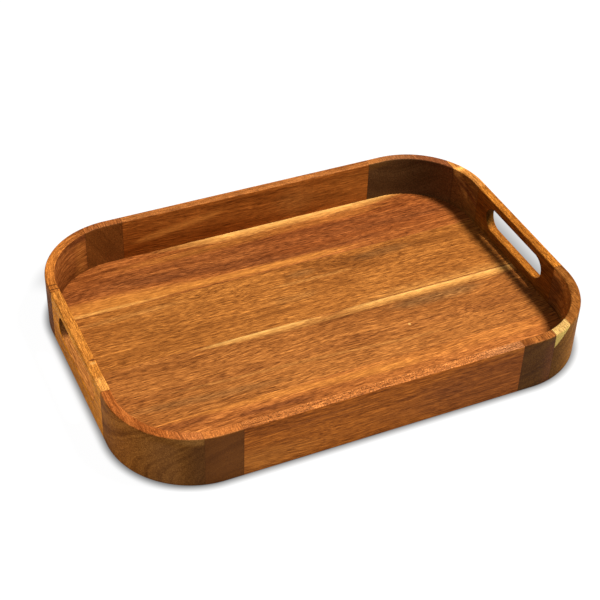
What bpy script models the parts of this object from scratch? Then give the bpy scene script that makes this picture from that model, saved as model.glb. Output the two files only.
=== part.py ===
"""Wooden serving tray with rounded corners and a finger slot in each short side.

X runs along the tray, Y across it and Z up. The origin is the middle of the
footprint, on the surface that the tray stands on. All sizes are in metres.

The wall is a ring of glued pieces: four straight rails, and corner blocks that are
each glued up from two staves. The rails are doweled to the corner blocks. The floor
is four boards glued edge to edge and let into a rabbet along the foot of the wall.
"""
import math

import bmesh
import bpy
from mathutils import Matrix, Vector

# Overall sizes
LENGTH = 0.430
WIDTH = 0.298
HEIGHT = 0.051
CORNER_RADIUS = 0.074
WALL = 0.0086

# Floor, the lip that it goes under the wall with, and the rabbet that holds the lip
FLOOR_THICKNESS = 0.0094
LIP_THICKNESS = 0.0090
RABBET_DEPTH = 0.0045
BOARD_SEAMS = (-0.0785, -0.0035, 0.0724)

# Finger slots
SLOT_LENGTH = 0.0965
SLOT_HEIGHT = 0.0242
SLOT_CENTRE_Z = 0.0310
SLOT_EASING = 0.0010
SLOT_CUTTER_OVERLAP = 0.00003

# Planes where the pieces of the wall meet
LONG_RAIL_END = 0.126
SHORT_RAIL_END = 0.067
STAVE_END = 0.158
BACK_LEFT_STAVE_END = 0.162
OUTER_STAVE_START = 0.1995

# Dowels
DOWEL_DIAMETER = 0.004
DOWEL_LENGTH = 0.020
DOWEL_CHAMFER = 0.0005
DOWEL_HEIGHTS = (0.0150, 0.0385)
BORE_END_ROOM = 0.0005

# Sanded edges, and the glue line between two pieces
TOP_EASING = 0.0012
FOOT_EASING = 0.0008
GLUE = 0.0003

# Roughness of the two surfaces: oiled and rubbed down, and bare
OILED = 0.42
UNFINISHED = 0.60

# Facets
CORNER_STEPS = 24
EASING_STEPS = 3
SLOT_STEPS = 14
DOWEL_SIDES = 16

SMOOTH_BELOW = math.radians(35)
FAR = 1.0


# ---------------------------------------------------------------- outlines

def arc(centre, radius, start, end, steps):
    """Points of an arc in a plane, both ends included; angles in degrees."""
    points = []
    for step in range(steps + 1):
        angle = math.radians(start + (end - start) * step / steps)
        points.append((centre[0] + radius * math.cos(angle), centre[1] + radius * math.sin(angle)))
    return points


def rounded_outline(inset):
    """The tray's outline seen from above, anticlockwise, moved inwards by inset."""
    x = LENGTH / 2 - CORNER_RADIUS
    y = WIDTH / 2 - CORNER_RADIUS
    radius = CORNER_RADIUS - inset
    points = []
    for centre, start in (((x, y), 0), ((-x, y), 90), ((-x, -y), 180), ((x, -y), 270)):
        points += arc(centre, radius, start, start + 90, CORNER_STEPS)
    return points


def wall_section():
    """The wall's section as (inset, height) points, with the floor's rabbet at its foot."""
    rabbet_top = LIP_THICKNESS + GLUE
    rabbet_side = WALL - RABBET_DEPTH
    section = arc((FOOT_EASING, FOOT_EASING), FOOT_EASING, 270, 180, EASING_STEPS)
    section += arc((TOP_EASING, HEIGHT - TOP_EASING), TOP_EASING, 180, 90, EASING_STEPS)
    section += arc((WALL - TOP_EASING, HEIGHT - TOP_EASING), TOP_EASING, 90, 0, EASING_STEPS)
    section += [(WALL, rabbet_top), (rabbet_side, rabbet_top), (rabbet_side, 0.0)]
    return section


# ---------------------------------------------------------------- solids

def join_loops(mesh, loops):
    """Faces between each closed loop of points and the next."""
    for near, far in zip(loops, loops[1:]):
        count = len(near)
        for i in range(count):
            j = (i + 1) % count
            mesh.faces.new((near[i], near[j], far[j], far[i]))


def wall_ring():
    """The whole wall in one piece, as a bmesh: the section carried round the outline."""
    mesh = bmesh.new()
    loops = []
    for inset, height in wall_section():
        loops.append([mesh.verts.new((x, y, height)) for x, y in rounded_outline(inset)])
    join_loops(mesh, loops + loops[:1])
    bmesh.ops.recalc_face_normals(mesh, faces=mesh.faces)
    return mesh


def floor_panel():
    """The whole floor in one piece, as a bmesh: a thinner lip runs all round it."""
    edge = WALL - RABBET_DEPTH + GLUE
    inside = WALL + GLUE
    levels = ((edge, 0.0), (edge, LIP_THICKNESS), (inside, LIP_THICKNESS), (inside, FLOOR_THICKNESS))
    mesh = bmesh.new()
    loops = []
    for inset, height in levels:
        loops.append([mesh.verts.new((x, y, height)) for x, y in rounded_outline(inset)])
    join_loops(mesh, loops)
    mesh.faces.new(loops[0])
    mesh.faces.new(loops[-1])
    bmesh.ops.recalc_face_normals(mesh, faces=mesh.faces)
    return mesh


def trim(mesh, axis, low=-FAR, high=FAR):
    """Keep what lies between two planes across an axis, and close the cuts."""
    for limit, sign in ((low, -1), (high, 1)):
        if abs(limit) == FAR:
            continue
        normal = Vector((0, 0, 0))
        normal[axis] = sign
        point = Vector((0, 0, 0))
        point[axis] = limit - sign * GLUE / 2
        geometry = mesh.verts[:] + mesh.edges[:] + mesh.faces[:]
        bmesh.ops.bisect_plane(mesh, geom=geometry, plane_co=point, plane_no=normal, clear_outer=True)
        open_edges = [edge for edge in mesh.edges if edge.is_boundary]
        bmesh.ops.holes_fill(mesh, edges=open_edges, sides=0)
    bmesh.ops.recalc_face_normals(mesh, faces=mesh.faces)
    return mesh


def slot_outline(growth):
    """A slot's outline in the Y-Z plane, made larger all round by growth."""
    radius = SLOT_HEIGHT / 2 + growth
    reach = SLOT_LENGTH / 2 - SLOT_HEIGHT / 2
    points = arc((reach, SLOT_CENTRE_Z), radius, -90, 90, SLOT_STEPS)
    points += arc((-reach, SLOT_CENTRE_Z), radius, 90, 270, SLOT_STEPS)
    return points


def slot_cutter_mesh():
    """A slot's cutter along X, widened at both faces of the wall so that its edges are eased."""
    face = WALL / 2 + SLOT_CUTTER_OVERLAP
    stations = [(face + SLOT_EASING, SLOT_EASING)]
    stations += arc((face - SLOT_EASING, SLOT_EASING), SLOT_EASING, 0, -90, EASING_STEPS)
    stations += [(-across, growth) for across, growth in reversed(stations)]
    mesh = bmesh.new()
    loops = []
    for across, growth in stations:
        loops.append([mesh.verts.new((across, y, z)) for y, z in slot_outline(growth)])
    join_loops(mesh, loops)
    mesh.faces.new(loops[0])
    mesh.faces.new(loops[-1])
    bmesh.ops.recalc_face_normals(mesh, faces=mesh.faces)
    return mesh


def rod(diameter, length, chamfer=0.0):
    """A round rod along X, centred on the origin, as a bmesh."""
    mesh = bmesh.new()
    along_x = Matrix.Rotation(math.radians(90), 4, "Y")
    bmesh.ops.create_cone(mesh, cap_ends=True, segments=DOWEL_SIDES, radius1=diameter / 2,
                          radius2=diameter / 2, depth=length, matrix=along_x)
    if chamfer:
        caps = [face for face in mesh.faces if abs(face.normal.x) > 0.9]
        rims = [edge for face in caps for edge in face.edges]
        bmesh.ops.bevel(mesh, geom=rims, offset=chamfer, segments=1, affect="EDGES")
    bmesh.ops.recalc_face_normals(mesh, faces=mesh.faces)
    return mesh


# ---------------------------------------------------------------- objects

def clear_scene():
    for item in list(bpy.data.objects):
        bpy.data.objects.remove(item, do_unlink=True)


def wood(name, colour, roughness):
    material = bpy.data.materials.new(name)
    material.use_nodes = True
    shader = material.node_tree.nodes["Principled BSDF"]
    shader.inputs["Base Color"].default_value = (*colour, 1.0)
    shader.inputs["Roughness"].default_value = roughness
    shader.inputs["Metallic"].default_value = 0.0
    return material


def to_mesh(source, name, material=None):
    """Turn a bmesh into mesh data, round faces shaded smooth."""
    data = bpy.data.meshes.new(name)
    source.to_mesh(data)
    source.free()
    data.shade_smooth()
    data.set_sharp_from_angle(angle=SMOOTH_BELOW)
    if material:
        data.materials.append(material)
    return data


def place(name, data, parent=None):
    item = bpy.data.objects.new(name, data)
    bpy.context.scene.collection.objects.link(item)
    item.parent = parent
    return item


def as_cutter(item):
    item.hide_render = True
    item.display_type = "WIRE"
    return item


def cut(item, cutter):
    modifier = item.modifiers.new("cut_" + cutter.name, "BOOLEAN")
    modifier.operation = "DIFFERENCE"
    modifier.solver = "EXACT"
    modifier.object = cutter


def wall_piece(tray, name, colour, x_range, y_range):
    """One piece of the wall: the part of the ring between two X planes and two Y planes."""
    mesh = trim(wall_ring(), 0, *x_range)
    mesh = trim(mesh, 1, *y_range)
    return place(name, to_mesh(mesh, name, wood(name + "_wood", colour, OILED)), tray)


def build_wall(tray):
    front = (-FAR, -SHORT_RAIL_END)
    back = (SHORT_RAIL_END, FAR)
    between = (-SHORT_RAIL_END, SHORT_RAIL_END)
    left_stave = (-STAVE_END, -LONG_RAIL_END)
    right_stave = (LONG_RAIL_END, STAVE_END)
    left_block = (-FAR, -STAVE_END)
    right_block = (STAVE_END, FAR)
    long_rail = (-LONG_RAIL_END, LONG_RAIL_END)
    plan = (
        ("front_rail", (0.36, 0.145, 0.045), long_rail, front),
        ("back_rail", (0.30, 0.115, 0.035), long_rail, back),
        ("left_rail", (0.55, 0.25, 0.075), left_block, between),
        ("right_rail", (0.42, 0.18, 0.050), right_block, between),
        ("front_left_stave", (0.13, 0.050, 0.020), left_stave, front),
        ("front_left_corner", (0.24, 0.110, 0.040), left_block, front),
        ("front_right_stave", (0.14, 0.062, 0.026), right_stave, front),
        ("front_right_corner", (0.25, 0.125, 0.055), right_block, front),
        ("back_left_stave", (0.16, 0.060, 0.022), (-BACK_LEFT_STAVE_END, -LONG_RAIL_END), back),
        ("back_left_corner", (0.30, 0.120, 0.040), (-FAR, -BACK_LEFT_STAVE_END), back),
        ("back_right_corner", (0.09, 0.035, 0.018), (LONG_RAIL_END, OUTER_STAVE_START), back),
        ("back_right_stave", (0.34, 0.140, 0.045), (OUTER_STAVE_START, FAR), back),
    )
    return {name: wall_piece(tray, name, colour, x, y) for name, colour, x, y in plan}


def cut_slots(pieces):
    data = to_mesh(slot_cutter_mesh(), "finger_slot")
    for name, side in (("left_rail", -1), ("right_rail", 1)):
        cutter = as_cutter(place(name + "_slot_cutter", data))
        cutter.location.x = side * (LENGTH / 2 - WALL / 2)
        cut(pieces[name], cutter)


def dowel_joints():
    """Each doweled joint: its name, the two pieces it joins, its place and its direction."""
    across = WIDTH / 2 - WALL / 2
    along = LENGTH / 2 - WALL / 2
    turned = math.radians(90)
    long_side = {"front": -across, "back": across}
    short_side = {"left": -along, "right": along}
    for row, y in long_side.items():
        for column, sign in (("left", -1), ("right", 1)):
            block = f"{row}_{column}_stave"
            if block == "back_right_stave":
                block = "back_right_corner"
            place_x = sign * LONG_RAIL_END
            yield f"{row}_{column}_long", (f"{row}_rail", block), (place_x, y), 0.0
    for column, x in short_side.items():
        for row, sign in (("front", -1), ("back", 1)):
            block = f"{row}_{column}_corner"
            if block == "back_right_corner":
                block = "back_right_stave"
            place_y = sign * SHORT_RAIL_END
            yield f"{row}_{column}_short", (f"{column}_rail", block), (x, place_y), turned


def build_dowels(tray, pieces):
    bare = wood("dowel_wood", (0.62, 0.44, 0.25), UNFINISHED)
    dowel = to_mesh(rod(DOWEL_DIAMETER, DOWEL_LENGTH, DOWEL_CHAMFER), "dowel", bare)
    bore_length = DOWEL_LENGTH + 2 * BORE_END_ROOM
    bore = to_mesh(rod(DOWEL_DIAMETER + 2 * GLUE, bore_length), "dowel_bore")
    for joint, joined, (x, y), turn in dowel_joints():
        for level, height in zip(("lower", "upper"), DOWEL_HEIGHTS):
            pin = place(f"dowel_{joint}_{level}", dowel, tray)
            cutter = as_cutter(place(f"bore_{joint}_{level}", bore))
            for item in (pin, cutter):
                item.location = (x, y, height)
                item.rotation_euler.z = turn
            for name in joined:
                cut(pieces[name], cutter)


def build_floor(tray):
    edges = (-FAR, *BOARD_SEAMS, FAR)
    boards = (
        ("floor_board_front", (0.42, 0.180, 0.052)),
        ("floor_board_mid_front", (0.38, 0.165, 0.050)),
        ("floor_board_mid_back", (0.42, 0.185, 0.052)),
        ("floor_board_back", (0.34, 0.130, 0.042)),
    )
    for (name, colour), low, high in zip(boards, edges, edges[1:]):
        board = trim(floor_panel(), 1, low, high)
        place(name, to_mesh(board, name, wood(name + "_wood", colour, OILED)), tray)


def build():
    clear_scene()
    tray = place("serving_tray", None)
    pieces = build_wall(tray)
    cut_slots(pieces)
    build_dowels(tray, pieces)
    build_floor(tray)


build()
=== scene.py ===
"""Looks of the wooden serving tray: fine wood pieces, acacia materials, studio and camera.

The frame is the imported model: X along the tray, Y across it, Z up, in metres.
"""
import math

import bmesh
import bpy
from mathutils import Matrix, Vector, noise


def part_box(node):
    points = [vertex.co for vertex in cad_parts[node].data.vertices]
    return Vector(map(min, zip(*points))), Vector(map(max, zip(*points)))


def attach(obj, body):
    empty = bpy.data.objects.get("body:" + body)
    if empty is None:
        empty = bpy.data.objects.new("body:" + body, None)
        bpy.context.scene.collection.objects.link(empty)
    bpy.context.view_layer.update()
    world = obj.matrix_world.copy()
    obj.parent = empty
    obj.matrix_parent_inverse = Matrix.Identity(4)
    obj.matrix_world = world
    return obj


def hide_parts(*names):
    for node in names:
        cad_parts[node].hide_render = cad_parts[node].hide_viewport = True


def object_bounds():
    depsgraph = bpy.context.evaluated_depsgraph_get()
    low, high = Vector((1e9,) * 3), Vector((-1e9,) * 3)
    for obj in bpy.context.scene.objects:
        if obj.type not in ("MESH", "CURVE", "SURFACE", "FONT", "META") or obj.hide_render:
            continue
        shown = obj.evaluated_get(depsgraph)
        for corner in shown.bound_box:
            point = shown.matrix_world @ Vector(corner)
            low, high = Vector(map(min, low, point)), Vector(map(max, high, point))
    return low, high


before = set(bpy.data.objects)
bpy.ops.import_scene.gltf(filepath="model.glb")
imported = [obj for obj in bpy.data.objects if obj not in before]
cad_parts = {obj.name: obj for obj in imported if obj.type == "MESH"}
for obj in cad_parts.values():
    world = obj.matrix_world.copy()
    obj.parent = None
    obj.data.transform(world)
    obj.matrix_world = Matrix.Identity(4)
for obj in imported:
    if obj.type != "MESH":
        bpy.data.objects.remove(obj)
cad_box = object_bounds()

MM = 0.001

# ---------------------------------------------------------------- sizes, from the frame

HIGH = Vector(cad_box[1])
HALF_LENGTH = HIGH.x
HALF_WIDTH = HIGH.y
HEIGHT = HIGH.z
FLOOR_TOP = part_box("floor_board_back")[1].z
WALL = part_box("left_rail")[1].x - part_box("left_rail")[0].x
CORNER_RADIUS = 74 * MM
CORNER_X = HALF_LENGTH - CORNER_RADIUS
CORNER_Y = HALF_WIDTH - CORNER_RADIUS
PANEL_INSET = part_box("floor_board_back")[0].x + HALF_LENGTH

# A finger slot: these repeat the CAD's own sizes, as the corner radius above does
SLOT_LENGTH = 96.5 * MM
SLOT_HEIGHT = 24.2 * MM
SLOT_CENTRE_Z = 31.0 * MM

# The outline's straight runs and arcs in turn, anticlockwise from the middle of the front
ARC = math.pi / 2 * CORNER_RADIUS
QUARTER = CORNER_X + ARC + CORNER_Y
RUNS = (CORNER_X, ARC, 2 * CORNER_Y, ARC, 2 * CORNER_X, ARC, 2 * CORNER_Y, ARC, CORNER_X)
CORNER_CENTRES = {1: (CORNER_X, -CORNER_Y), 3: (CORNER_X, CORNER_Y),
                  5: (-CORNER_X, CORNER_Y), 7: (-CORNER_X, -CORNER_Y)}

# Each side's middle, in quarters round the outline, and whether its axis runs with the outline
SIDES = {"front": (0, 1), "right": (1, 1), "back": (2, -1), "left": (3, -1), "front_again": (4, 1)}


def seam_between(node_a, node_b, axis):
    """The plane halfway between two neighbouring nodes."""
    spans = sorted((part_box(node)[0][axis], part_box(node)[1][axis]) for node in (node_a, node_b))
    return (spans[0][1] + spans[1][0]) / 2


# Fine sizes that the CAD solids leave out; an arris is this much as deep as it is wide
GLUE_GAP = 0.02 * MM
ARRIS = 0.06 * MM
ARRIS_DEPTH = 0.7
TOP_EASING = 1.2 * MM
FOOT_EASING = 0.8 * MM
SLOT_EASING = 1.1 * MM
RABBET_ROOM = 0.05 * MM
NARROWEST_BOARD = 0.4 * MM
CUTTER_OVERLAP = 0.02 * MM
CUTTER_REACH = 1.0 * MM

# How finely the meshes are divided and smoothed
EASING_STEPS = 7
SLOT_STEPS = 40
STATION_STEP = 2.0 * MM
FACE_STEP = 3.5 * MM
BOARD_STEPS = 150
BOARD_COLUMNS = 21
SMOOTH_BELOW = 22
FACE_WEIGHT = 90

# Hand sanding leaves faces a little uneven: how much, and how close the waves are, per metre
SANDING = 0.035 * MM
BROAD_WAVES = 45.0
FINE_WAVES = 130.0


# ---------------------------------------------------------------- the wall

def on_corner(index, angle, radius):
    x, y = CORNER_CENTRES[index]
    return Vector((x + radius * math.cos(angle), y + radius * math.sin(angle), 0.0))


def outline_point(s, inset):
    """A point on the tray's outline moved in by inset; s is measured along the outer
    edge, anticlockwise from the middle of the front."""
    s = s % sum(RUNS)
    radius = CORNER_RADIUS - inset
    start = Vector((0.0, -HALF_WIDTH + inset, 0.0))
    heading = 0.0
    for index, run in enumerate(RUNS):
        if index in CORNER_CENTRES:
            if s <= run:
                return on_corner(index, heading - math.pi / 2 + s / CORNER_RADIUS, radius)
            heading += math.pi / 2
            start = on_corner(index, heading - math.pi / 2, radius)
        else:
            along = Vector((math.cos(heading), math.sin(heading), 0.0))
            if s <= run:
                return start + along * s
            start += along * run
        s -= run
    return start


def seam_station(seam, inset):
    """How far round the outline, moved in by inset, a seam is: (side, place along the side)."""
    side, place = seam
    straight = CORNER_Y if side in ("left", "right") else CORNER_X
    beyond = abs(place) - straight
    reach = abs(place)
    if beyond > 0:
        reach = straight + CORNER_RADIUS * math.asin(beyond / (CORNER_RADIUS - inset))
    quarters, forwards = SIDES[side]
    return quarters * QUARTER + forwards * math.copysign(reach, place)


def easing(inset, height, radius, start, end):
    """The rounded edge between two faces of the wall's section; angles in degrees."""
    points = []
    for step in range(EASING_STEPS + 1):
        angle = math.radians(start + (end - start) * step / EASING_STEPS)
        normal = (math.cos(angle), math.sin(angle))
        points.append((inset + radius * normal[0], height + radius * normal[1], normal))
    return points


def face(inset, low, high, normal):
    """Points between the two ends of an upright face of the wall's section."""
    count = max(1, round(abs(high - low) / FACE_STEP))
    return [(inset, low + (high - low) * i / count, normal) for i in range(1, count)]


def wall_profile():
    """The wall's section as (inset, height, normal), with the floor's rabbet at its foot."""
    rabbet_top = FLOOR_TOP + RABBET_ROOM
    rabbet_side = PANEL_INSET - RABBET_ROOM
    top = HEIGHT - TOP_EASING
    points = easing(FOOT_EASING, FOOT_EASING, FOOT_EASING, 270, 180)
    points += face(0.0, FOOT_EASING, top, (-1.0, 0.0))
    points += easing(TOP_EASING, top, TOP_EASING, 180, 90)
    points += easing(WALL - TOP_EASING, top, TOP_EASING, 90, 0)
    points += face(WALL, top, rabbet_top, (1.0, 0.0))
    points += [(WALL, rabbet_top, (0.7, -0.7)), (rabbet_side, rabbet_top, (0.7, 0.7)),
               (rabbet_side, 0.0, (0.7, -0.7))]
    return points


def sanded(point, normal, amount=SANDING):
    """Move a point a little along its normal, as hand sanding leaves a face."""
    wave = noise.noise(point * BROAD_WAVES) + 0.5 * noise.noise(point * FINE_WAVES)
    return point + normal * (wave * amount)


def wall_ring(mesh, profile, start, end, share, at_end):
    """One section of a wall piece, at a share of its length. At its two ends the section
    is drawn in, which leaves a fine arris along the seam."""
    ring = []
    for inset, height, normal in profile:
        s0 = seam_station(start, inset) + GLUE_GAP / 2
        s1 = seam_station(end, inset) - GLUE_GAP / 2
        s = s0 + ARRIS + (s1 - s0 - 2 * ARRIS) * share
        if at_end:
            s = s1 if share else s0
            inset -= normal[0] * ARRIS * ARRIS_DEPTH
            height -= normal[1] * ARRIS * ARRIS_DEPTH
        point = outline_point(s, inset)
        point.z = height
        inward = (outline_point(s, inset + MM) - outline_point(s, inset)).normalized()
        out = inward * normal[0] + Vector((0, 0, normal[1]))
        amount = SANDING if height > FLOOR_TOP / 2 else 0.0
        ring.append(mesh.verts.new(sanded(point, out, amount)))
    return ring


def skin(mesh, loops):
    """Faces between each closed loop of points and the next, and a cap at either end."""
    for near, far in zip(loops, loops[1:]):
        for j in range(len(near)):
            k = (j + 1) % len(near)
            mesh.faces.new((near[j], far[j], far[k], near[k]))
    mesh.faces.new(loops[0])
    mesh.faces.new(loops[-1])
    bmesh.ops.recalc_face_normals(mesh, faces=mesh.faces)


def wall_mesh(name, start, end):
    """A closed mesh of the wall between two seams."""
    profile = wall_profile()
    middle = seam_station(end, WALL / 2) - seam_station(start, WALL / 2)
    count = max(4, round(middle / STATION_STEP))
    mesh = bmesh.new()
    rings = []
    for i in range(-1, count + 2):
        share = min(max(i, 0), count) / count
        rings.append(wall_ring(mesh, profile, start, end, share, i in (-1, count + 1)))
    skin(mesh, rings)
    return to_data(mesh, name)


def to_data(mesh, name):
    """Turn a bmesh into mesh data with smooth round faces, and free it."""
    data = bpy.data.meshes.new(name)
    mesh.to_mesh(data)
    mesh.free()
    data.shade_smooth()
    data.set_sharp_from_angle(angle=math.radians(SMOOTH_BELOW))
    return data


def add_piece(name, data, node, material):
    """Put a finished piece in the scene: it stands for its CAD node and rides with the tray."""
    piece = bpy.data.objects.new(name, data)
    bpy.context.scene.collection.objects.link(piece)
    data.materials.append(material)
    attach(piece, "root")
    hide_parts(node)
    return piece


def slot_loop(mesh, across, growth):
    """A finger slot's outline at a place across the wall, larger all round by growth."""
    radius = SLOT_HEIGHT / 2 + growth
    reach = SLOT_LENGTH / 2 - SLOT_HEIGHT / 2
    loop = []
    for end, first in ((reach, -90), (-reach, 90)):
        for step in range(SLOT_STEPS + 1):
            angle = math.radians(first + 180 * step / SLOT_STEPS)
            y = end + radius * math.cos(angle)
            z = SLOT_CENTRE_Z + radius * math.sin(angle)
            loop.append(mesh.verts.new((across, y, z)))
    return loop


def slot_cutter(side):
    """A finger slot's cutter, which widens at both faces of the wall to round the edges."""
    half = WALL / 2 + CUTTER_OVERLAP
    stations = [(half + CUTTER_REACH, SLOT_EASING)]
    for step in range(EASING_STEPS + 1):
        angle = math.pi / 2 * step / EASING_STEPS
        across = half - SLOT_EASING * (1 - math.cos(angle))
        stations.append((across, SLOT_EASING * (1 - math.sin(angle))))
    stations += [(-across, growth) for across, growth in reversed(stations)]
    mesh = bmesh.new()
    skin(mesh, [slot_loop(mesh, across, growth) for across, growth in stations])
    cutter = bpy.data.objects.new("slot_cutter", to_data(mesh, "slot_cutter"))
    cutter.location.x = side * (HALF_LENGTH - WALL / 2)
    bpy.context.scene.collection.objects.link(cutter)
    return cutter


def cut_slot(piece, side):
    """Cut the finger slot through a short rail; side is -1 on the left and 1 on the right."""
    cutter = slot_cutter(side)
    cut = piece.modifiers.new("slot", "BOOLEAN")
    cut.object = cutter
    cut.operation = "DIFFERENCE"
    cut.solver = "EXACT"
    weigh = piece.modifiers.new("flat_faces", "WEIGHTED_NORMAL")
    weigh.keep_sharp = True
    weigh.weight = FACE_WEIGHT
    depsgraph = bpy.context.evaluated_depsgraph_get()
    finished = bpy.data.meshes.new_from_object(piece.evaluated_get(depsgraph), depsgraph=depsgraph)
    piece.modifiers.clear()
    piece.data = finished
    bpy.data.objects.remove(cutter, do_unlink=True)


# ---------------------------------------------------------------- the floor

def half_width_at(x):
    """Half the floor panel's width at a place along it."""
    radius = CORNER_RADIUS - PANEL_INSET
    beyond = abs(x) - CORNER_X
    if beyond <= 0:
        return HALF_WIDTH - PANEL_INSET
    return CORNER_Y + math.sqrt(max(radius * radius - beyond * beyond, 0.0))


def board_rows(low, high):
    """Where a board between two seams starts and ends across the tray, place by place.
    The places crowd together towards the rounded ends."""
    end = HALF_LENGTH - PANEL_INSET
    rows = []
    for i in range(BOARD_STEPS + 1):
        x = end * math.sin(math.pi / 2 * (2 * i / BOARD_STEPS - 1))
        half = half_width_at(x)
        y0, y1 = max(low, -half), min(high, half)
        if y1 - y0 > NARROWEST_BOARD:
            rows.append((x, y0 + GLUE_GAP / 2, y1 - GLUE_GAP / 2))
    return rows


def board_line(x, y0, y1):
    """The points of a board's top along one line across it, with an arris at both ends."""
    last = BOARD_COLUMNS - 1
    points = []
    for j in range(BOARD_COLUMNS):
        y = y0 + ARRIS + (y1 - y0 - 2 * ARRIS) * (j - 1) / (last - 2)
        drop = 0.0
        if j in (0, last):
            y = y1 if j else y0
            drop = ARRIS * ARRIS_DEPTH
        point = sanded(Vector((x, y, FLOOR_TOP)), Vector((0, 0, 1)))
        points.append((x, y, point.z - drop))
    return points


def board_mesh(name, low, high):
    """A floor board between two seams, with fine arrises where it meets its neighbours."""
    mesh = bmesh.new()
    top, foot = [], []
    for row in board_rows(low, high):
        top.append([])
        foot.append([])
        for x, y, z in board_line(*row):
            top[-1].append(mesh.verts.new((x, y, z)))
            foot[-1].append(mesh.verts.new((x, y, 0.0)))
    last = BOARD_COLUMNS - 1
    for i in range(len(top) - 1):
        for j in range(last):
            mesh.faces.new((top[i][j], top[i + 1][j], top[i + 1][j + 1], top[i][j + 1]))
            mesh.faces.new((foot[i][j], foot[i][j + 1], foot[i + 1][j + 1], foot[i + 1][j]))
        for j in (0, last):
            mesh.faces.new((top[i][j], foot[i][j], foot[i + 1][j], top[i + 1][j]))
    for i in (0, len(top) - 1):
        for j in range(last):
            mesh.faces.new((top[i][j], top[i][j + 1], foot[i][j + 1], foot[i][j]))
    bmesh.ops.recalc_face_normals(mesh, faces=mesh.faces)
    return to_data(mesh, name)


# ---------------------------------------------------------------- wood

class Graph:
    """Adds shader nodes to a material and links them."""

    def __init__(self, name):
        self.material = bpy.data.materials.new(name)
        self.material.use_nodes = True
        self.tree = self.material.node_tree
        self.shader = self.tree.nodes["Principled BSDF"]

    def add(self, kind, **settings):
        node = self.tree.nodes.new(kind)
        for key, value in settings.items():
            setattr(node, key, value)
        return node

    def feed(self, value, socket):
        if isinstance(value, bpy.types.NodeSocket):
            self.tree.links.new(value, socket)
        else:
            socket.default_value = value

    def math(self, operation, a, b=0.0, clamp=False):
        node = self.add("ShaderNodeMath", operation=operation, use_clamp=clamp)
        self.feed(a, node.inputs[0])
        self.feed(b, node.inputs[1])
        return node.outputs[0]

    def vector(self, operation, a, b=(0, 0, 0)):
        node = self.add("ShaderNodeVectorMath", operation=operation)
        self.feed(a, node.inputs[0])
        self.feed(b, node.inputs["Scale" if operation == "SCALE" else 1])
        return node.outputs["Value" if operation in ("LENGTH", "DOT_PRODUCT") else "Vector"]

    def split(self, vector):
        node = self.add("ShaderNodeSeparateXYZ")
        self.feed(vector, node.inputs[0])
        return node.outputs[0], node.outputs[1], node.outputs[2]

    def join(self, x, y, z):
        node = self.add("ShaderNodeCombineXYZ")
        for value, socket in zip((x, y, z), node.inputs):
            self.feed(value, socket)
        return node.outputs[0]

    def times(self, a, b):
        return self.math("MULTIPLY", a, b)

    def plus(self, a, b):
        return self.math("ADD", a, b)

    def minus(self, a, b):
        return self.math("SUBTRACT", a, b)

    def noise(self, vector, detail=2.0, roughness=0.5, colour=False):
        node = self.add("ShaderNodeTexNoise", noise_dimensions="3D")
        self.feed(vector, node.inputs["Vector"])
        node.inputs["Scale"].default_value = 1.0
        node.inputs["Detail"].default_value = detail
        node.inputs["Roughness"].default_value = roughness
        return node.outputs["Color" if colour else "Fac"]

    def pattern(self, place, kind, colour=False):
        """Noise with its own scale along and across the grain; see the patterns below."""
        scales, detail, roughness = kind
        return self.noise(self.vector("MULTIPLY", place, scales), detail, roughness, colour)

    def spread(self, value, low, high, new_low=0.0, new_high=1.0, smooth=True):
        """Map low..high to new_low..new_high, clamped."""
        kind = "SMOOTHSTEP" if smooth else "LINEAR"
        node = self.add("ShaderNodeMapRange", interpolation_type=kind)
        for number, socket in zip((value, low, high, new_low, new_high), node.inputs):
            self.feed(number, socket)
        return node.outputs[0]

    def ramp(self, factor, stops):
        node = self.add("ShaderNodeValToRGB")
        self.feed(factor, node.inputs[0])
        elements = node.color_ramp.elements
        while len(elements) < len(stops):
            elements.new(1.0)
        for element, (place, colour) in zip(elements, stops):
            element.position = place
            element.color = (*colour, 1.0)
        return node.outputs[0]

    def mix(self, factor, a, b, mode="MIX"):
        node = self.add("ShaderNodeMix", data_type="RGBA", blend_type=mode)
        for value, socket in zip((factor, a, b), (node.inputs[0], node.inputs[6], node.inputs[7])):
            if isinstance(value, tuple):
                value = (*value, 1.0)
            self.feed(value, socket)
        return node.outputs[2]


# The wood's noise patterns: how fast each changes along and across the grain, per
# millimetre, and its detail and roughness
BEND = ((0.007, 0.022, 0.022), 2.0, 0.45)
RIPPLE = ((0.045, 0.12, 0.12), 2.0, 0.5)
LINES = ((0.010, 0.75, 0.75), 4.0, 0.78)
DASHES = ((0.032, 1.00, 1.00), 3.0, 0.62)
FIBRES = ((0.22, 3.0, 3.0), 2.0, 0.6)
MOTTLE = ((0.34, 0.16, 0.16), 2.0, 0.5)
CLOUDS = ((0.012, 0.045, 0.045), 2.0, 0.5)
PORES = ((0.16, 1.5, 1.5), 1.0, 0.4)
MARKS = ((0.95, 1.15, 1.15), 1.0, 0.5)
FLECKS_ACROSS = 1.80
FLECKS_NOISE = (1.0, 0.5)
PORES_SHOW = (0.60, 0.72)

# How far the grain bends and ripples sideways, in millimetres
BEND_REACH = 16.0
RIPPLE_REACH = 0.8

# Growth rings: how slowly they change along the grain, how close the fine ones are, how
# much the rings, fine rings and clouds each count, and the spread of their sum
RING_DRIFT = 0.0035
RING_NOISE = (4.0, 0.62)
FINE_RING_DRIFT = 0.010
FINE_RING_RATE = 0.62
FINE_RING_NOISE = (3.0, 0.6)
RING_SHARES = (0.56, 0.24, 0.20)
RING_SPREAD = 0.16
DARK_RING = (0.52, 0.46, 0.42)
LIGHT_RING = (1.40, 1.52, 1.60)

# Steps between the seeds' places, so that no two pieces show the same part of the noise
SEED_ALONG = 97.0
SEED_RINGS = 3.1
SEED_FINE_RINGS = 1.7

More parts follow.
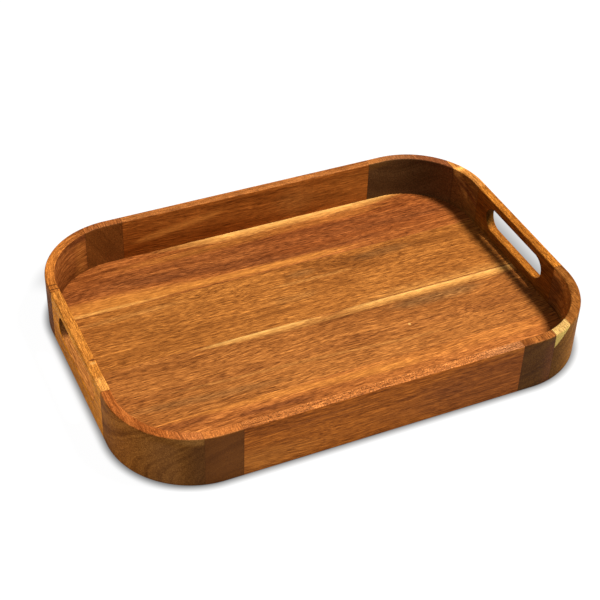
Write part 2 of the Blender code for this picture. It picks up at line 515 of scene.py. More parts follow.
# How much less of the fibre shows in the smooth pale streaks, and the powers that make
# darker fibres deeper in green and blue
CALM = 0.45
DEEPER_GREEN = 1.15
DEEPER_BLUE = 1.25

# Heights in millimetres between which the rim's sanding fades in, and the parts of a wall
# piece below and on the rim
RIM_FADE = (42.0, 48.0)
BODY = (-90, 44)
RIM = (44, 90)

TO_MM = (1 / MM, 1 / MM, 1 / MM)

# How squarely a surface has to face along the grain, or upwards, to count as such
END_FACING = (0.30, 0.88)
UP_FACING = (0.30, 0.85)
MARKS_SHOW = (0.34, 0.66)

# Masks: how far out a spot fades, a streak's least width at its ends, how much its edges
# are broken up by the dashes, and a glue line's reach in millimetres and its strength
SPOT_EDGE = (0.6, 1.2)
STREAK_TIP = 0.2
RAGGED = (0.25, 0.6, 0.75, 1.0)
GLUE_REACH = (0.10, 0.60)
GLUE_STRENGTH = 0.35

# The oil: roughness where the dashes are low and high, and the pores' added roughness; the
# relief's strength and depth, and how much the fibres count in it beside the pores
OIL_ROUGHNESS = (0.50, 0.40)
PORE_ROUGHNESS = 0.14
RELIEF_STRENGTH = 0.35
RELIEF_DEPTH = 0.08 * MM
FIBRE_RELIEF = 0.35


class Figure:
    """What makes one piece of acacia look different from the next.

    tone is its middle colour. grain is the axis that the fibres follow, or the signs of
    the corner that they bend round. pith is the centre of its growth rings, in millimetres.
    rim multiplies the colour of its top edge, and ledge of level faces lower down.
    """

    def __init__(self, tone, grain="x", pith=(30.0, -55.0), ring_rate=0.16, contrast=1.0,
                 seed=0.0, tilt=0.0, end_tone=(0.42, 0.50, 0.55), rim=None, ledge=0.75, marks=0.28,
                 texture=1.0, fleck=0.12, sheen=0.03, streaks=(), spots=()):
        self.tone = tone
        self.rim = rim
        self.ledge = ledge
        self.marks = marks
        self.fleck = fleck
        self.texture = texture
        self.sheen = sheen
        self.spots = spots
        self.grain = grain
        self.pith = pith
        self.ring_rate = ring_rate
        self.contrast = contrast
        self.seed = seed
        self.tilt = tilt
        self.end_tone = end_tone
        self.streaks = streaks


class Streak:
    """A light or dark streak along a piece, in millimetres of the tray's own axes.

    It is centred on across = place + slope * along, is half_width wide each way, and
    fades in and out over the stretch from start to end. wander is how far it follows
    the bends of the grain.
    """

    def __init__(self, colour, place, half_width, start, end, slope=0.0, fade=30.0,
                 strength=1.0, soft=0.6, along="x", across="y", wander=0.35):
        self.colour = colour
        self.place = place
        self.half_width = half_width
        self.start = start
        self.end = end
        self.slope = slope
        self.fade = fade
        self.strength = strength
        self.soft = soft
        self.along = along
        self.across = across
        self.wander = wander


def upright(colour, place, half_width, part, across="x", soft=0.9, **rest):
    """A soft streak up a wall piece, on its body or on its rim."""
    return Streak(colour, place, half_width, *part, along="z", across=across, fade=3, soft=soft,
                  **rest)


class Spot:
    """A small fleck, knot or chip at a place on a piece, with its half sizes, in millimetres."""

    def __init__(self, colour, place, size, strength=1.0):
        self.colour = colour
        self.place = place
        self.size = size
        self.strength = strength


def spot_mask(g, spot, place):
    """How much of a spot shows at a place."""
    offset = g.vector("DIVIDE", g.vector("SUBTRACT", place, spot.place), spot.size)
    return g.spread(g.vector("LENGTH", offset), *SPOT_EDGE, spot.strength, 0.0)


def streak_mask(g, streak, axes, bend, ragged):
    """How much of a streak shows: it narrows towards its ends and has ragged edges."""
    along, across = axes[streak.along], axes[streak.across]
    centre = g.plus(g.times(along, streak.slope), streak.place)
    shift = g.times(bend, streak.wander)
    away = g.math("ABSOLUTE", g.minus(g.plus(across, shift), centre))
    enter = g.spread(along, streak.start - streak.fade, streak.start + streak.fade)
    leave = g.spread(along, streak.end - streak.fade, streak.end + streak.fade, 1.0, 0.0)
    present = g.times(enter, leave)
    tapered = g.math("DIVIDE", away, g.plus(g.times(present, 1.0 - STREAK_TIP), STREAK_TIP))
    inner, outer = streak.half_width * (1 - streak.soft), streak.half_width * (1 + streak.soft)
    mask = g.times(g.spread(tapered, inner, outer, 1.0, 0.0), present)
    mask = g.times(mask, g.spread(ragged, *RAGGED))
    return g.math("MULTIPLY", mask, streak.strength, clamp=True)


def seam_mask(g, axes, seam):
    """Dark glue line close to the plane where a piece meets its neighbour."""
    axis, place = seam
    away = g.math("ABSOLUTE", g.minus(axes[axis], place))
    return g.spread(away, *GLUE_REACH, GLUE_STRENGTH, 0.0)


def along_corner(g, place, corner):
    """Places measured round a corner's centre, so that the grain follows the corner."""
    px, py, pz = g.split(place)
    u = g.times(g.minus(px, corner[0] * CORNER_X / MM), corner[0])
    v = g.times(g.minus(py, corner[1] * CORNER_Y / MM), corner[1])
    along = g.times(g.math("ARCTAN2", v, u), (CORNER_RADIUS - WALL) / MM)
    return g.join(along, g.vector("LENGTH", g.join(u, v, 0.0)), pz)


def wood_place(g, figure, place):
    """Places in the wood's own directions, with X along the grain."""
    turn = g.add("ShaderNodeMapping", vector_type="POINT")
    g.feed(place, turn.inputs["Vector"])
    quarter = -math.pi / 2 if figure.grain == "y" else 0.0
    turn.inputs["Rotation"].default_value = (0.0, figure.tilt * 0.5, quarter + figure.tilt)
    turn.inputs["Location"].default_value = (figure.seed * SEED_ALONG, 0.0, 0.0)
    return turn.outputs["Vector"]


def sideways(g, wood, kind, reach):
    """How a noise pattern shifts the grain sideways, in millimetres."""
    centred = g.vector("SUBTRACT", g.pattern(wood, kind, colour=True), (0.5, 0.5, 0.5))
    return g.vector("MULTIPLY", centred, (0.0, reach, reach))


def ring_colour(g, figure, wood, grown):
    """Growth rings about the pith, as light and dark bands that run along the grain."""
    wx, wy, wz = g.split(grown)
    from_pith = g.join(0.0, g.minus(wy, figure.pith[0]), g.minus(wz, figure.pith[1]))
    radius = g.vector("LENGTH", from_pith)
    ring_place = g.join(g.times(wx, RING_DRIFT), g.times(radius, figure.ring_rate),
                        figure.seed * SEED_RINGS)
    fine_place = g.join(g.times(wx, FINE_RING_DRIFT), g.times(radius, FINE_RING_RATE),
                        figure.seed * SEED_FINE_RINGS)
    sources = (g.noise(ring_place, *RING_NOISE), g.noise(fine_place, *FINE_RING_NOISE),
               g.pattern(wood, CLOUDS))
    rings, fine_rings, clouds = (g.times(source, share)
                                 for source, share in zip(sources, RING_SHARES))
    band = g.plus(g.plus(rings, fine_rings), clouds)
    reach = RING_SPREAD / figure.contrast
    dark = tuple(tone * factor for tone, factor in zip(figure.tone, DARK_RING))
    light = tuple(tone * factor for tone, factor in zip(figure.tone, LIGHT_RING))
    return g.ramp(g.spread(band, 0.5 - reach, 0.5 + reach, smooth=False),
                  ((0.0, dark), (0.5, figure.tone), (1.0, light)))


def fibre_patterns(g, figure, grown):
    """Long fibre lines, dashes of interlocked fibre, flecks, fine fibres, mottle and pores."""
    flecks = ((figure.fleck, FLECKS_ACROSS, FLECKS_ACROSS), *FLECKS_NOISE)
    patterns = {"lines": LINES, "dashes": DASHES, "flecks": flecks, "fibres": FIBRES,
                "mottle": MOTTLE, "pores": PORES}
    found = {name: g.pattern(grown, kind) for name, kind in patterns.items()}
    found["pores"] = g.spread(found["pores"], *PORES_SHOW)
    return found


def fibre_shade(g, figure, found, calm):
    """A factor for the colour, from the fibres. calm is where the wood is smooth."""
    rough = figure.texture
    # Each pattern, its low and high ends, the change of brightness there, and if it is smoothed
    layers = (
        ("lines", 0.32, 0.68, -0.42 * rough, 0.38 * rough, False),
        ("dashes", 0.38, 0.64, 0.10 * rough, -0.17 * rough, True),
        ("flecks", 0.30, 0.70, -0.56 * rough, 0.56 * rough, False),
        ("fibres", 0.30, 0.70, -0.17, 0.17, False),
        ("mottle", 0.32, 0.68, -0.04, 0.04, False),
        ("pores", 0.0, 1.0, 0.0, -0.40 * rough, False),
    )
    value = 1.0
    for name, low, high, at_low, at_high, smooth in layers:
        layer = g.spread(found[name], low, high, 1.0 + at_low, 1.0 + at_high, smooth)
        value = g.times(value, layer)
    value = g.minus(value, g.times(g.minus(value, 1.0), g.times(calm, CALM)))
    return g.join(value, g.math("POWER", value, DEEPER_GREEN), g.math("POWER", value, DEEPER_BLUE))


def streaked(g, figure, colour, axes, bend, ragged):
    """Lay the piece's streaks over its colour; also gives where the smooth ones are."""
    calm = 0.0
    for streak in figure.streaks:
        mask = streak_mask(g, streak, axes, bend, ragged)
        colour = g.mix(mask, colour, streak.colour)
        if streak.colour in SMOOTH_COLOURS:
            calm = g.math("MAXIMUM", calm, mask)
    return colour, calm


def end_grain(g, figure, colour, normal):
    """End grain drinks more oil and goes darker."""
    axis = (0.0, 1.0, 0.0) if figure.grain == "y" else (1.0, 0.0, 0.0)
    facing = g.math("ABSOLUTE", g.vector("DOT_PRODUCT", normal, axis))
    darkened = g.mix(1.0, colour, figure.end_tone, "MULTIPLY")
    return g.mix(g.spread(facing, *END_FACING), colour, darkened)


def worn_rim(g, figure, colour, normal, height, grown):
    """The rim is sanded last, across the wall: it is brighter and finely marked."""
    upward = g.spread(g.split(normal)[2], *UP_FACING)
    upward = g.times(upward, g.spread(height, *RIM_FADE, figure.ledge, 1.0))
    marked = g.spread(g.pattern(grown, MARKS), *MARKS_SHOW, 1.0 - figure.marks,
                      1.0 + figure.marks, smooth=False)
    worn = g.mix(1.0, colour, g.vector("SCALE", figure.rim, marked), "MULTIPLY")
    return g.mix(upward, colour, worn)


def oiled_surface(g, figure, found):
    """Satin oil that is duller in the pores, and a fine relief of fibres and pores."""
    gloss = g.spread(found["dashes"], 0.3, 0.7, *OIL_ROUGHNESS, smooth=False)
    g.feed(g.plus(gloss, g.times(found["pores"], PORE_ROUGHNESS)), g.shader.inputs["Roughness"])
    g.shader.inputs["Specular IOR Level"].default_value = figure.sheen
    bump = g.add("ShaderNodeBump")
    bump.inputs["Strength"].default_value = RELIEF_STRENGTH
    bump.inputs["Distance"].default_value = RELIEF_DEPTH
    g.feed(g.minus(g.times(found["fibres"], FIBRE_RELIEF), found["pores"]), bump.inputs["Height"])
    g.feed(bump.outputs[0], g.shader.inputs["Normal"])


def acacia(name, figure, seams=()):
    """Oiled acacia: growth rings about a pith, interlocked fibres, pores and mottle."""
    g = Graph(name)
    coordinates = g.add("ShaderNodeTexCoord")
    normal = coordinates.outputs["Normal"]
    place = g.vector("MULTIPLY", coordinates.outputs["Object"], TO_MM)
    curved = isinstance(figure.grain, tuple)
    grain_place = along_corner(g, place, figure.grain) if curved else place
    wood = wood_place(g, figure, grain_place)
    bend = sideways(g, wood, BEND, BEND_REACH)
    ripple = sideways(g, wood, RIPPLE, RIPPLE_REACH)
    grown = g.vector("ADD", wood, g.vector("ADD", bend, ripple))
    found = fibre_patterns(g, figure, grown)

    # Streaks are placed by the tray's axes; by the distance out from a corner's centre, which the
    # painted shade on the back-left corner's outer face uses; or by how squarely the surface faces
    # along X or Y, which the painted shade inside the left finger slot uses
    px, py, pz = g.split(place)
    nx, ny, _ = g.split(normal)
    axes = {"x": px, "y": py, "z": pz, "out": g.split(grain_place)[1],
            "faced": g.math("ABSOLUTE", nx), "ended": g.math("ABSOLUTE", ny)}
    colour = ring_colour(g, figure, wood, grown)
    colour, calm = streaked(g, figure, colour, axes, g.split(bend)[1], found["dashes"])
    colour = g.mix(1.0, colour, fibre_shade(g, figure, found, calm), "MULTIPLY")
    if not curved:
        colour = end_grain(g, figure, colour, normal)
    if figure.rim:
        colour = worn_rim(g, figure, colour, normal, pz, grown)
    for seam in seams:
        colour = g.mix(seam_mask(g, axes, seam), colour, GLUE_LINE)
    for spot in figure.spots:
        colour = g.mix(spot_mask(g, spot, place), colour, spot.colour)
    g.feed(colour, g.shader.inputs["Base Color"])
    oiled_surface(g, figure, found)
    return g.material


# Colours of the glue line, the streaks and the spots
GLUE_LINE = (0.050, 0.016, 0.005)
BRIGHT = (0.72, 0.39, 0.105)
WEDGE = (0.98, 0.66, 0.20)
SAPWOOD = (0.62, 0.285, 0.066)
GOLD = (0.66, 0.36, 0.10)
AMBER = (0.62, 0.28, 0.062)
TAWNY = (0.84, 0.33, 0.030)
LIGHT = (0.50, 0.180, 0.030)
PALE = (0.46, 0.19, 0.042)
DARK = (0.13, 0.036, 0.010)
SHADE = (0.17, 0.046, 0.011)
OLIVE = (0.20, 0.090, 0.026)
# This colour is also painted shade on the back-left corner's outer face
DEEP_BROWN_AND_OUTER_SHADE = (0.130, 0.043, 0.011)
# This colour is also painted shade inside the left finger slot
MID_BROWN_AND_SLOT_SHADE = (0.340, 0.125, 0.032)
HUSK = (0.160, 0.066, 0.022)
EMBER = (0.150, 0.032, 0.003)
RED = (0.27, 0.066, 0.013)

# Pale streaks show less of the fibre than the darker wood round them
SMOOTH_COLOURS = (BRIGHT, SAPWOOD, GOLD, AMBER, LIGHT)

FIGURES = {
    "floor_board_back": Figure(
        (0.292, 0.082, 0.016), seed=1, pith=(150, -60), tilt=-0.012, contrast=1.8, sheen=0.07,
        streaks=(
            Streak(RED, 106, 20, 0, 200, strength=0.7, soft=0.9),
            Streak(SHADE, 103, 7, -220, 220, strength=0.6, soft=0.9),
            Streak(SHADE, 115, 4, -160, 120, strength=0.6, soft=0.9),
            Streak(LIGHT, 126, 4, -130, 130, strength=0.4, soft=0.9),
            Streak(SHADE, 88.1, 5, -150, 20, slope=-0.13, strength=0.75, soft=0.8),
            Streak(SHADE, 86.5, 4, -20, 120, slope=-0.01, strength=0.6, soft=0.9),
            Streak(DARK, 92.3, 3, -135, -90, slope=-0.05, fade=15, strength=0.6, soft=0.9),
            Streak(SHADE, 113, 2.5, 60, 190, strength=0.5, soft=0.9),
            Streak(SHADE, 101, 2.5, 90, 200, strength=0.5, soft=0.9),
            Streak(LIGHT, 82, 9, -290, -90, fade=70, strength=0.95, soft=0.5),
            Streak(LIGHT, 78.5, 4, -150, 70, slope=-0.01, fade=40, strength=0.9, soft=0.7),
            Streak(AMBER, 75.3, 1.9, -260, -120, fade=40, strength=0.9, soft=0.8),
            Streak(AMBER, 138.5, 6, -70, 150, fade=50, soft=0.8),
            Streak(BRIGHT, 140.5, 3, -50, 150, fade=30, strength=0.8, soft=0.8, wander=0.1))),
    "floor_board_mid_back": Figure(
        (0.312, 0.102, 0.017), seed=2, pith=(20, -90), tilt=0.004, contrast=0.9, sheen=0.07,
        streaks=(
            Streak(PALE, 61, 3, -200, -100, strength=0.5, soft=0.9),
            Streak(PALE, 47, 1.6, -15, 62, fade=15, strength=0.6, soft=0.9),
            Streak(OLIVE, 57, 4, 4, 30, fade=8, strength=0.45, soft=0.9),
            Streak(OLIVE, 59, 5, 72, 128, fade=15, strength=0.4, soft=0.9),
            Streak(OLIVE, 28, 4, -25, 20, fade=10, strength=0.3, soft=0.9),
            Streak(PALE, 3, 4, 60, 210, fade=40, strength=0.4, soft=0.9),
            Streak(AMBER, -1.8, 2.0, 60, 230, fade=30, strength=0.5, soft=0.9, wander=0.1),
            Streak(SHADE, -2.6, 0.6, 60, 220, fade=15, strength=0.8, soft=0.6, wander=0.0))),
    "floor_board_mid_front": Figure(
        (0.298, 0.096, 0.018), seed=3, pith=(-60, -70), tilt=-0.030, contrast=0.9, sheen=0.07,
        streaks=(
            Streak(OLIVE, -18.5, 6, 75, 160, fade=18, strength=0.7, soft=0.9),
            Streak(OLIVE, -73.2, 4, -190, -60, slope=-0.08, strength=0.45, soft=0.9),
            Streak(SHADE, -45.5, 4, -230, 230, strength=0.28, soft=0.9),
            Streak(AMBER, -10, 2.5, -60, 230, fade=50, strength=0.35, soft=0.9),
            Streak(PALE, -56, 1.5, -150, 100, slope=-0.06, strength=0.45, soft=0.9),
            Streak(SAPWOOD, -6.0, 2.6, -100, 0, fade=22, soft=0.6, wander=0.1),
            Streak(BRIGHT, -5.2, 1.0, -95, -5, fade=20, strength=0.8, soft=0.7, wander=0.1),
            Streak(SAPWOOD, -6.0, 3.4, 34, 260, fade=22, strength=0.95, soft=0.7, wander=0.1),
            Streak(BRIGHT, -4.7, 1.1, 40, 260, fade=25, strength=0.6, soft=0.8, wander=0.1)),
        spots=(Spot(GOLD, (76.5, -44.5, 9.4), (1.3, 1.3, 3)),
               Spot(DARK, (163.5, -60.5, 9.4), (1.3, 1.0, 3)))),
    "floor_board_front": Figure(
        (0.385, 0.118, 0.023), seed=4, pith=(-110, -80), tilt=-0.040, contrast=1.0, sheen=0.07,
        streaks=(
            Streak(LIGHT, -86, 4, -230, 60, slope=-0.06, strength=0.7, soft=0.8),
            Streak(LIGHT, -84, 7, 0, 190, strength=0.4, soft=0.9),
            Streak(SHADE, -86, 4, -185, -130, fade=12, strength=0.65, soft=0.9),
            Streak(SHADE, -96.8, 2.8, -108, -45, slope=-0.03, fade=12, strength=0.85, soft=0.8))),
    "front_rail": Figure(
        (0.275, 0.073, 0.0085), rim=(1.38, 1.65, 3.2), marks=0.54, seed=5, pith=(-190, 20),
        texture=0.8, fleck=0.09,
        streaks=(
            Streak(SHADE, 22, 24, 22, 300, fade=60, strength=0.55, across="z", soft=0.3),
            Streak(LIGHT, 12, 12, -300, -70, fade=50, strength=0.4, across="z", soft=0.7),
            Streak(PALE, 51, 4, 90, 300, fade=20, strength=0.2, across="z", wander=0.0),
            Streak(SHADE, 42, 1.2, -100, -20, slope=0.03, strength=0.5, across="z", soft=0.9),
            Streak(SHADE, 37, 0.8, -90, 0, slope=0.04, strength=0.4, across="z", soft=0.9),
            Streak(SHADE, 32, 6, 38, 74, slope=-0.10, fade=12, strength=0.35, across="z", soft=0.9))),
    "back_rail": Figure(
        (0.295, 0.084, 0.012), rim=(1.30, 1.5, 2.3), seed=6, pith=(190, 15), texture=0.7, fleck=0.09,
        streaks=(
            Streak(EMBER, 11, 14, -300, 22, fade=60, strength=0.85, across="z", soft=0.6),
            Streak(EMBER, 30, 14, -300, -80, fade=35, strength=0.5, across="z", soft=0.6),
            Streak(PALE, 30, 14, 28, 66, fade=15, strength=0.25, across="z", soft=0.9),
            Streak(LIGHT, 28, 18, 60, 300, fade=50, strength=0.22, across="z", soft=0.3),
            Streak(LIGHT, 42, 3.2, -112, -30, slope=0.146, fade=14, strength=0.7, across="z",
                   soft=0.9))),
    "left_rail": Figure(
        (0.55, 0.175, 0.011), rim=(0.86, 0.93, 2.2), grain="y", seed=7, pith=(190, 10), texture=0.8,
        marks=0.30, sheen=0.006, fleck=0.09, ledge=0.0,
        streaks=(
            Streak(TAWNY, 51, 4, -90, -50, along="y", across="z", fade=2, strength=0.7, wander=0.0),
            Streak(TAWNY, 45, 4, -20, 90, along="y", across="z", fade=20, strength=0.5, soft=0.8,
                   wander=0.0),
            # Painted shade inside the finger slot: its inside faces are darkened, and its far end
            # more so
            Streak(MID_BROWN_AND_SLOT_SHADE, 0.0, 0.5, 17, 45, along="z", across="faced", fade=1, strength=0.9, soft=0.4,
                   wander=0.0),
            Streak(DARK, 1.0, 0.5, 36, 49, along="y", across="ended", fade=3, strength=0.9, soft=0.5,
                   wander=0.0)),
        spots=(Spot(DARK, (-208.6, -28.5, 51), (3.6, 1.3, 2.5), 0.9),
               Spot(GOLD, (-209.5, -32.5, 51), (3.0, 1.6, 2.5), 0.5))),
    "right_rail": Figure(
        (0.21, 0.064, 0.008), rim=(1.75, 1.9, 1.9), marks=0.42, grain="y", seed=8, pith=(-180, 15),
        texture=0.8, sheen=0.006),
    "front_left_stave": Figure(
        (0.30, 0.079, 0.012), rim=(1.45, 1.7, 2.3), grain="y", seed=9, pith=(120, -30), texture=0.4,
        contrast=0.5),
    "front_left_corner": Figure(
        (0.250, 0.082, 0.0125), rim=(1.25, 1.02, 1.25), end_tone=(0.68, 0.76, 0.95), grain="y",
        seed=10, pith=(135, -6), texture=0.6, contrast=1.2, ring_rate=0.17, sheen=0.004,
        streaks=(
            upright(MID_BROWN_AND_SLOT_SHADE, -186, 10, BODY, strength=0.35),
            upright(PALE, -160, 14, RIM, strength=0.5),
            upright(DEEP_BROWN_AND_OUTER_SHADE, -161, 9, BODY, strength=0.8, wander=0.0))),
    "front_right_stave": Figure(
        (0.185, 0.056, 0.0088), rim=(1.25, 1.25, 1.5), grain="y", seed=11, pith=(-120, 90),
        texture=0.8, contrast=0.9, streaks=(
            upright(RED, 156, 6, BODY, strength=0.7, wander=0.0),)),
    "front_right_corner": Figure(
        (0.47, 0.180, 0.033), rim=(0.52, 0.46, 0.46), end_tone=(0.50, 0.51, 0.44), grain="y",
        seed=12, pith=(-140, 80), texture=0.8, sheen=0.004, streaks=(
            Streak(HUSK, 158, 16, -90, 90, along="z", across="x", fade=1, strength=0.9, soft=0.9,
                   wander=0.0),
            upright(DEEP_BROWN_AND_OUTER_SHADE, -72, 13, BODY, across="y", strength=0.9, wander=0.0),
            Streak(WEDGE, -69.3, 12, 140, 190, slope=0.7487, fade=1, soft=0.05, across="z",
                   wander=0.0),)),
    "back_left_stave": Figure(
        (0.37, 0.094, 0.015), rim=(0.85, 1.0, 1.4), grain="y", seed=13, pith=(240, -40), texture=0.8,
        contrast=0.6),
    "back_left_corner": Figure(
        (0.24, 0.072, 0.015), rim=(2.2, 2.35, 1.8), grain=(-1, 1), seed=14, pith=(69, -140),
        tilt=0.03, texture=0.8, contrast=1.4, sheen=0.004, streaks=(
            # Painted shade: the outer face is darkened, as the side turned from the light
            upright(DEEP_BROWN_AND_OUTER_SHADE, 77, 6, BODY, across="out", strength=0.7, soft=0.3, wander=0.0),
            upright(DARK, -160, 28, RIM, strength=0.95),
            upright(LIGHT, -168, 5, BODY, strength=0.3)),
        spots=(
            Spot(GLUE_LINE, (-210, 76.5, 51), (8, 0.8, 2), 0.7),
            Spot(GLUE_LINE, (-210, 70.6, 51), (8, 0.8, 2), 0.8))),
    "back_right_corner": Figure(
        (0.18, 0.065, 0.019), rim=(1.35, 1.3, 1.4), grain="y", seed=15, pith=(-150, 90),
        texture=0.6, streaks=(
            upright(LIGHT, 128, 16, RIM, strength=0.35),
            upright(DARK, 192, 16, RIM, strength=0.8),
            upright(DEEP_BROWN_AND_OUTER_SHADE, 198, 9, BODY, strength=0.7))),
    "back_right_stave": Figure(
        (0.25, 0.095, 0.018), rim=(1.8, 1.8, 1.8), grain="y", seed=16, pith=(-260, 30),
        texture=0.7, streaks=(
            Streak(AMBER, -66.8, 6, 84, 104, slope=1.14, along="y", across="z", fade=3, strength=0.65,
                   soft=0.8, wander=0.0),
            Streak(DARK, 5.2, 2.2, 60, 98, slope=0.35, along="y", across="z", fade=4, strength=0.9,
                   soft=0.7, wander=0.1),
            Streak(DARK, 15.5, 1.4, 66, 98, slope=0.30, along="y", across="z", fade=4, strength=0.7,
                   soft=0.7, wander=0.1),
            upright(DEEP_BROWN_AND_OUTER_SHADE, 103, 14, BODY, across="y", strength=0.85))),
}


def dowel_wood():
    """Pale bare wood for the hidden dowels."""
    figure = Figure((0.46, 0.30, 0.15), seed=20, contrast=0.5)
    return acacia("dowel_wood", figure)


# ---------------------------------------------------------------- assembly

def build_wall():
    """The twelve pieces of the wall, each between two seams round the outline."""
    rail_end = seam_between("front_rail", "front_right_stave", 0)
    stave_end = seam_between("front_right_stave", "front_right_corner", 0)
    back_left_end = seam_between("back_left_stave", "back_left_corner", 0)
    outer_start = seam_between("back_right_corner", "back_right_stave", 0)
    short_end = -seam_between("right_rail", "front_right_corner", 1)
    plan = (
        ("front_rail", ("front", -rail_end), ("front", rail_end)),
        ("front_right_stave", ("front", rail_end), ("front", stave_end)),
        ("front_right_corner", ("front", stave_end), ("right", -short_end)),
        ("right_rail", ("right", -short_end), ("right", short_end)),
        ("back_right_stave", ("right", short_end), ("back", outer_start)),
        ("back_right_corner", ("back", outer_start), ("back", rail_end)),
        ("back_rail", ("back", rail_end), ("back", -rail_end)),
        ("back_left_stave", ("back", -rail_end), ("back", back_left_end)),
        ("back_left_corner", ("back", back_left_end), ("left", short_end)),
        ("left_rail", ("left", short_end), ("left", -short_end)),
        ("front_left_corner", ("left", -short_end), ("front_again", -stave_end)),
        ("front_left_stave", ("front", -stave_end), ("front", -rail_end)),
    )
    for node, start, end in plan:
        data = wall_mesh(node + "_fine", start, end)
        seams = [("y" if side in ("left", "right") else "x", place / MM)
                 for side, place in (start, end)]
        wood = acacia(node + "_acacia", FIGURES[node], seams)
        piece = add_piece(node + "_fine", data, node, wood)
        if node in ("left_rail", "right_rail"):
            cut_slot(piece, -1 if node == "left_rail" else 1)


def build_floor():
    """The four boards of the floor, from the front to the back."""
    names = ("floor_board_front", "floor_board_mid_front", "floor_board_mid_back",
             "floor_board_back")
    seams = [-HALF_WIDTH]
    seams += [seam_between(low, high, 1) for low, high in zip(names, names[1:])]
    seams.append(HALF_WIDTH)
    for node, low, high in zip(names, seams, seams[1:]):
        data = board_mesh(node + "_fine", low, high)
        add_piece(node + "_fine", data, node, acacia(node + "_acacia", FIGURES[node]))


def finish_dowels():
    """The hidden dowels stay as they are in the frame, with their own wood."""
    material = dowel_wood()
    for name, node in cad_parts.items():
        if name.startswith("dowel"):
            node.data.materials.clear()
            node.data.materials.append(material)


# ---------------------------------------------------------------- studio

# The camera's angles are in degrees round what it aims at, and its lens in millimetres
CAMERA_AZIMUTH = -25.79
CAMERA_ELEVATION = 39.39
CAMERA_ROLL = 2.21
CAMERA_DISTANCE = 1.2873
CAMERA_AIM = (5.3 * MM, 33.2 * MM, 0.0)
CAMERA_LENS = 84.62
SENSOR_WIDTH = 36.0
CLIP_START = 0.05

WHITE = (1.0, 1.0, 1.0)
KEY_DIRECTION = (0.47, -0.20, 1.0)
KEY_DISTANCE = 2.0
KEY_SIZE = 0.42
KEY_POWER = 62.0
KEY_COLOUR = (1.0, 0.985, 0.96)
FILL_PLACE = (-1.5, -2.0, 1.0)
FILL_SIZE = 1.4
FILL_POWER = 12.0
SKY_STRENGTH = 0.22

# The studio floor: its size, its glow and own grey, and how far below the tray's foot it is
GROUND_RADIUS = 12.0
GROUND_SIDES = 96
GROUND_DROP = 0.3 * MM
GROUND_GLOW = 0.97
GROUND_GREY = (0.07, 0.07, 0.07)
GROUND_ROUGHNESS = 0.9
GROUND_SHEEN = 0.1

# Its glow is dimmed close to the tray, from CONTACT_GLOW up, between the distances of
# CONTACT: a painted contact shadow. It is dimmed more at the tray's back and right, by up
# to BEHIND_LOSS, between the distances of BEHIND: painted shade. That painted shade fades in
# between the places across the tray of BEHIND_START, and where the way out of the tray points
# backwards or rightwards, by these weights, as far as BEHIND_TURN.
CONTACT = (-2.0 * MM, 8.5 * MM)
CONTACT_GLOW = 0.17
BEHIND = (4.0 * MM, 48.0 * MM)
BEHIND_LOSS = 0.80
BEHIND_START = (-95.0 * MM, -25.0 * MM)
BEHIND_TURN = (0.0, 0.55)
RIGHTWARD_WEIGHT = 0.6
BACKWARD_WEIGHT = 0.8


def build_camera():
    """The camera, turned a little about its own axis."""
    azimuth, elevation = math.radians(CAMERA_AZIMUTH), math.radians(CAMERA_ELEVATION)
    back = Vector((math.sin(azimuth) * math.cos(elevation), -math.cos(azimuth) * math.cos(elevation),
                   math.sin(elevation)))
    camera = bpy.data.objects.new("camera", bpy.data.cameras.new("camera"))
    camera.data.lens = CAMERA_LENS
    camera.data.sensor_width = SENSOR_WIDTH
    camera.data.clip_start = CLIP_START
    upright = back.to_track_quat("Z", "Y").to_matrix().to_4x4()
    roll = Matrix.Rotation(math.radians(CAMERA_ROLL), 4, "Z")
    place = Matrix.Translation(Vector(CAMERA_AIM) + back * CAMERA_DISTANCE)
    camera.matrix_world = place @ upright @ roll
    bpy.context.scene.collection.objects.link(camera)
    bpy.context.scene.camera = camera


def area_light(name, position, size, power, colour=WHITE):
    """A round soft light that faces the origin."""
    light = bpy.data.objects.new(name, bpy.data.lights.new(name, "AREA"))
    light.data.shape = "DISK"
    light.data.size = size
    light.data.energy = power
    light.data.color = colour
    place = Vector(position)
    aimed = place.to_track_quat("Z", "Y").to_matrix().to_4x4()
    light.matrix_world = Matrix.Translation(place) @ aimed
    bpy.context.scene.collection.objects.link(light)


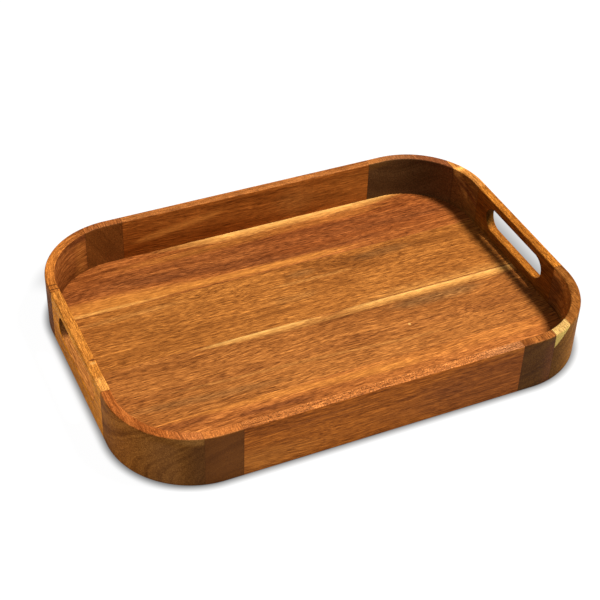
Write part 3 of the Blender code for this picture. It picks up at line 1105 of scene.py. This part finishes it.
def studio_surface():
    """A pale floor with an even glow, dimmed round the tray by painted shadow, more at its back and
    right.
    """
    g = Graph("studio_floor")
    x, y, _ = g.split(g.add("ShaderNodeTexCoord").outputs["Object"])
    beyond_x = g.math("MAXIMUM", g.minus(g.math("ABSOLUTE", x), CORNER_X), 0.0)
    beyond_y = g.math("MAXIMUM", g.minus(g.math("ABSOLUTE", y), CORNER_Y), 0.0)
    from_centre = g.vector("LENGTH", g.join(beyond_x, beyond_y, 0.0))
    away = g.minus(from_centre, CORNER_RADIUS)
    # Painted contact shadow: the glow is dimmed close to the tray's outline
    glow_in_painted_contact_shadow = g.spread(away, *CONTACT, CONTACT_GLOW, 1.0)
    # Painted shade on the floor at the tray's back and right, deepest close to it
    rightward = g.times(g.times(beyond_x, g.math("SIGN", x)), RIGHTWARD_WEIGHT)
    backward = g.times(g.times(beyond_y, g.math("SIGN", y)), BACKWARD_WEIGHT)
    facing = g.math("DIVIDE", g.plus(rightward, backward), g.plus(from_centre, MM))
    painted_back_shade = g.times(g.spread(facing, *BEHIND_TURN), g.spread(away, *BEHIND, BEHIND_LOSS, 0.0))
    painted_back_shade = g.times(painted_back_shade, g.spread(y, *BEHIND_START))
    glow = g.times(glow_in_painted_contact_shadow, g.minus(1.0, painted_back_shade))
    g.feed(g.times(glow, GROUND_GLOW), g.shader.inputs["Emission Strength"])
    g.shader.inputs["Emission Color"].default_value = (*WHITE, 1.0)
    g.shader.inputs["Base Color"].default_value = (*GROUND_GREY, 1.0)
    g.shader.inputs["Roughness"].default_value = GROUND_ROUGHNESS
    g.shader.inputs["Specular IOR Level"].default_value = GROUND_SHEEN
    return g.material


def build_ground():
    """The floor that the tray is shown on; it is stage and no part of the tray."""
    mesh = bmesh.new()
    bmesh.ops.create_circle(mesh, cap_ends=True, radius=GROUND_RADIUS, segments=GROUND_SIDES)
    data = bpy.data.meshes.new("studio_floor")
    mesh.to_mesh(data)
    mesh.free()
    data.materials.append(studio_surface())
    ground = bpy.data.objects.new("studio_floor", data)
    ground.location.z = -GROUND_DROP
    bpy.context.scene.collection.objects.link(ground)


def build_studio():
    """Soft light from a key, a fill and a white sky, over a pale floor."""
    scene = bpy.context.scene
    scene.view_settings.view_transform = "Standard"
    key = Vector(KEY_DIRECTION).normalized() * KEY_DISTANCE
    area_light("key", key, KEY_SIZE, KEY_POWER, KEY_COLOUR)
    area_light("fill", FILL_PLACE, FILL_SIZE, FILL_POWER)
    world = bpy.data.worlds.new("studio")
    scene.world = world
    world.use_nodes = True
    background = world.node_tree.nodes["Background"]
    background.inputs[0].default_value = (*WHITE, 1.0)
    background.inputs[1].default_value = SKY_STRENGTH
    build_ground()


build_camera()
build_wall()
build_floor()
finish_dowels()
build_studio()
